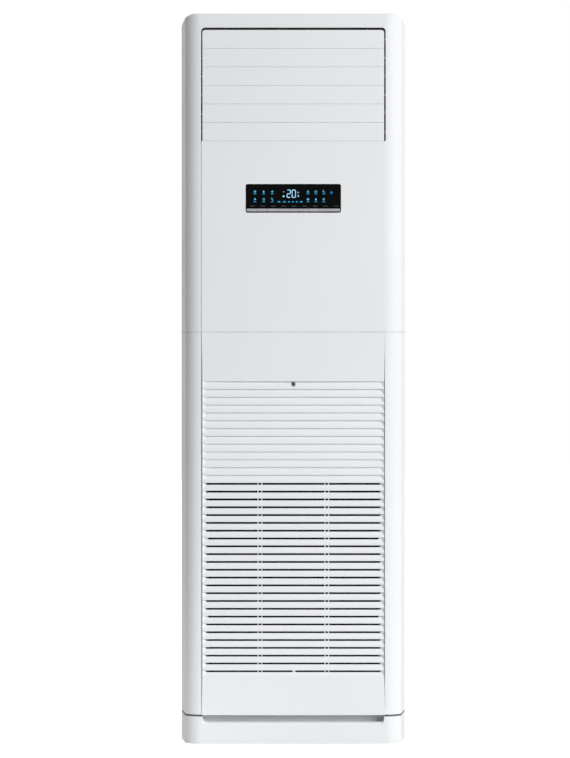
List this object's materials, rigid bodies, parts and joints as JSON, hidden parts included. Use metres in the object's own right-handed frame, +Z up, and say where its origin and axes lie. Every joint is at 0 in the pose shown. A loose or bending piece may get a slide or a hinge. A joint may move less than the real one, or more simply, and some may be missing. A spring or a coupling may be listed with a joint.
{
  "type": "floor standing air conditioner",
  "caption": "Tall slim cabinet air conditioner with a louvred lower intake panel, a black touch display and closing outlet blades at the top.",
  "frame": {"origin": "on the floor under the middle of the cabinet's box", "axes": "+Z up, the front faces -Y, +X is the right of the cabinet seen from its front"},
  "size_m": [0.58, 0.4, 1.87],
  "materials": {
    "moulded_white": "fine moulded white, slightly glossy",
    "painted_casing": "powder coated white",
    "silver_keys": "satin silver lacquer",
    "gloss_window": "gloss black",
    "dark_plastic": "dark grey plastic",
    "filter_mesh": "dark mesh",
    "screw_steel": "plated steel",
    "zinc_sheet": "galvanised sheet",
    "foam": "moulded foam",
    "fan_plastic": "grey plastic",
    "coil_fins": "aluminium fins",
    "copper": "drawn copper tube",
    "circuit_board": "board lacquer",
    "rubber": "soft black rubber"
  },
  "bodies": {
    "cabinet": {"base_plinth": "moulded_white", "lower_right_column": "moulded_white", "upper_right_column": "moulded_white", "lower_left_column": "moulded_white", "upper_left_column": "moulded_white", "header": "moulded_white", "display_panel": "moulded_white", "right_side_panel": "painted_casing", "left_side_panel": "painted_casing", "back_panel": "painted_casing", "top_cover": "painted_casing", "display_window": "gloss_window", "fan_bellmouth": "dark_plastic", "fan_motor": "dark_plastic", "terminal_block": "dark_plastic", "cross_rail": "zinc_sheet", "louvre_motor": "zinc_sheet", "vane_motor": "zinc_sheet", "fan_scroll": "zinc_sheet", "fan_bulkhead": "zinc_sheet", "motor_bracket": "zinc_sheet", "divider_plate": "zinc_sheet", "control_box": "zinc_sheet", "outlet_duct": "foam", "drain_pan": "foam", "evaporator_coil": "coil_fins", "refrigerant_header": "copper", "gas_pipe": "copper", "liquid_pipe": "copper", "display_board": "circuit_board", "control_board": "circuit_board", "drain_hose": "rubber", "pipe_grommet": "rubber"},
    "grille_door": {"intake_grille": "moulded_white", "grille_screw": "screw_steel", "air_filter": "filter_mesh"},
    "fan": {"fan_impeller": "fan_plastic"},
    "blade_1": {"louvre_blade_1": "moulded_white"},
    "blade_2": {"louvre_blade_2": "moulded_white"},
    "blade_3": {"louvre_blade_3": "moulded_white"},
    "blade_4": {"louvre_blade_4": "moulded_white"},
    "blade_5": {"louvre_blade_5": "moulded_white"},
    "blade_6": {"louvre_blade_6": "moulded_white"},
    "blade_link": {"louvre_link_bar": "dark_plastic"},
    "swing_vane_1": {"vane_1": "moulded_white"},
    "swing_vane_2": {"vane_2": "moulded_white"},
    "swing_vane_3": {"vane_3": "moulded_white"},
    "swing_vane_4": {"vane_4": "moulded_white"},
    "swing_vane_5": {"vane_5": "moulded_white"},
    "swing_vane_6": {"vane_6": "moulded_white"},
    "vane_link": {"vane_link_bar": "dark_plastic"},
    "key_1": {"button_1": "silver_keys"},
    "key_2": {"button_2": "silver_keys"},
    "key_3": {"button_3": "silver_keys"},
    "key_4": {"button_4": "silver_keys"},
    "key_5": {"button_5": "silver_keys"},
    "key_6": {"button_6": "silver_keys"},
    "key_7": {"button_7": "silver_keys"},
    "key_8": {"button_8": "silver_keys"},
    "key_9": {"button_9": "silver_keys"}
  },
  "joints": [
    {"name": "grille_tilt", "type": "hinge", "parent": "cabinet", "child": "grille_door", "pos_m": [0, -0.188, 0.084], "axis": [1, 0, 0], "range_deg": [0, 20]},
    {"name": "fan_spin", "type": "hinge", "parent": "cabinet", "child": "fan", "pos_m": [0, 0.02, 0.43], "axis": [0, 1, 0], "continuous": true},
    {"name": "blade_1_turn", "type": "hinge", "parent": "cabinet", "child": "blade_1", "pos_m": [0, -0.188, 1.8045], "axis": [-1, 0, 0], "range_deg": [0, 80]},
    {"name": "blade_2_turn", "type": "hinge", "parent": "cabinet", "child": "blade_2", "pos_m": [0, -0.188, 1.7571], "axis": [-1, 0, 0], "range_deg": [0, 80]},
    {"name": "blade_3_turn", "type": "hinge", "parent": "cabinet", "child": "blade_3", "pos_m": [0, -0.188, 1.7097], "axis": [-1, 0, 0], "range_deg": [0, 80]},
    {"name": "blade_4_turn", "type": "hinge", "parent": "cabinet", "child": "blade_4", "pos_m": [0, -0.188, 1.6623], "axis": [-1, 0, 0], "range_deg": [0, 80]},
    {"name": "blade_5_turn", "type": "hinge", "parent": "cabinet", "child": "blade_5", "pos_m": [0, -0.188, 1.6149], "axis": [-1, 0, 0], "range_deg": [0, 80]},
    {"name": "blade_6_turn", "type": "hinge", "parent": "cabinet", "child": "blade_6", "pos_m": [0, -0.188, 1.5675], "axis": [-1, 0, 0], "range_deg": [0, 80]},
    {"name": "blade_link_pivot", "type": "hinge", "parent": "blade_1", "child": "blade_link", "pos_m": [0.2445, -0.17727, 1.8135], "axis": [-1, 0, 0], "range_deg": [-80, 0]},
    {"name": "vane_1_swing", "type": "hinge", "parent": "cabinet", "child": "swing_vane_1", "pos_m": [-0.19, -0.15, 1.69], "axis": [0, 0, 1], "range_deg": [-40, 40]},
    {"name": "vane_2_swing", "type": "hinge", "parent": "cabinet", "child": "swing_vane_2", "pos_m": [-0.114, -0.15, 1.69], "axis": [0, 0, 1], "range_deg": [-40, 40]},
    {"name": "vane_3_swing", "type": "hinge", "parent": "cabinet", "child": "swing_vane_3", "pos_m": [-0.038, -0.15, 1.69], "axis": [0, 0, 1], "range_deg": [-40, 40]},
    {"name": "vane_4_swing", "type": "hinge", "parent": "cabinet", "child": "swing_vane_4", "pos_m": [0.038, -0.15, 1.69], "axis": [0, 0, 1], "range_deg": [-40, 40]},
    {"name": "vane_5_swing", "type": "hinge", "parent": "cabinet", "child": "swing_vane_5", "pos_m": [0.114, -0.15, 1.69], "axis": [0, 0, 1], "range_deg": [-40, 40]},
    {"name": "vane_6_swing", "type": "hinge", "parent": "cabinet", "child": "swing_vane_6", "pos_m": [0.19, -0.15, 1.69], "axis": [0, 0, 1], "range_deg": [-40, 40]},
    {"name": "vane_link_pivot", "type": "hinge", "parent": "swing_vane_1", "child": "vane_link", "pos_m": [-0.19, -0.12, 1.5608], "axis": [0, 0, 1], "range_deg": [-40, 40]},
    {"name": "key_1_press", "type": "slide", "parent": "cabinet", "child": "key_1", "axis": [0, 1, 0], "range_m": [0, 0.0008], "stiffness_N_per_m": 800},
    {"name": "key_2_press", "type": "slide", "parent": "cabinet", "child": "key_2", "axis": [0, 1, 0], "range_m": [0, 0.0008], "stiffness_N_per_m": 800},
    {"name": "key_3_press", "type": "slide", "parent": "cabinet", "child": "key_3", "axis": [0, 1, 0], "range_m": [0, 0.0008], "stiffness_N_per_m": 800},
    {"name": "key_4_press", "type": "slide", "parent": "cabinet", "child": "key_4", "axis": [0, 1, 0], "range_m": [0, 0.0008], "stiffness_N_per_m": 800},
    {"name": "key_5_press", "type": "slide", "parent": "cabinet", "child": "key_5", "axis": [0, 1, 0], "range_m": [0, 0.0008], "stiffness_N_per_m": 800},
    {"name": "key_6_press", "type": "slide", "parent": "cabinet", "child": "key_6", "axis": [0, 1, 0], "range_m": [0, 0.0008], "stiffness_N_per_m": 800},
    {"name": "key_7_press", "type": "slide", "parent": "cabinet", "child": "key_7", "axis": [0, 1, 0], "range_m": [0, 0.0008], "stiffness_N_per_m": 800},
    {"name": "key_8_press", "type": "slide", "parent": "cabinet", "child": "key_8", "axis": [0, 1, 0], "range_m": [0, 0.0008], "stiffness_N_per_m": 800},
    {"name": "key_9_press", "type": "slide", "parent": "cabinet", "child": "key_9", "axis": [0, 1, 0], "range_m": [0, 0.0008], "stiffness_N_per_m": 800}
  ],
  "couplings": [
    {"joint": "blade_2_turn", "follows": "blade_1_turn", "ratio": 1},
    {"joint": "blade_3_turn", "follows": "blade_1_turn", "ratio": 1},
    {"joint": "blade_4_turn", "follows": "blade_1_turn", "ratio": 1},
    {"joint": "blade_5_turn", "follows": "blade_1_turn", "ratio": 1},
    {"joint": "blade_6_turn", "follows": "blade_1_turn", "ratio": 1},
    {"joint": "blade_link_pivot", "follows": "blade_1_turn", "ratio": -1},
    {"joint": "vane_2_swing", "follows": "vane_1_swing", "ratio": 1},
    {"joint": "vane_3_swing", "follows": "vane_1_swing", "ratio": 1},
    {"joint": "vane_4_swing", "follows": "vane_1_swing", "ratio": 1},
    {"joint": "vane_5_swing", "follows": "vane_1_swing", "ratio": 1},
    {"joint": "vane_6_swing", "follows": "vane_1_swing", "ratio": 1},
    {"joint": "vane_link_pivot", "follows": "vane_1_swing", "ratio": -1}
  ]
}
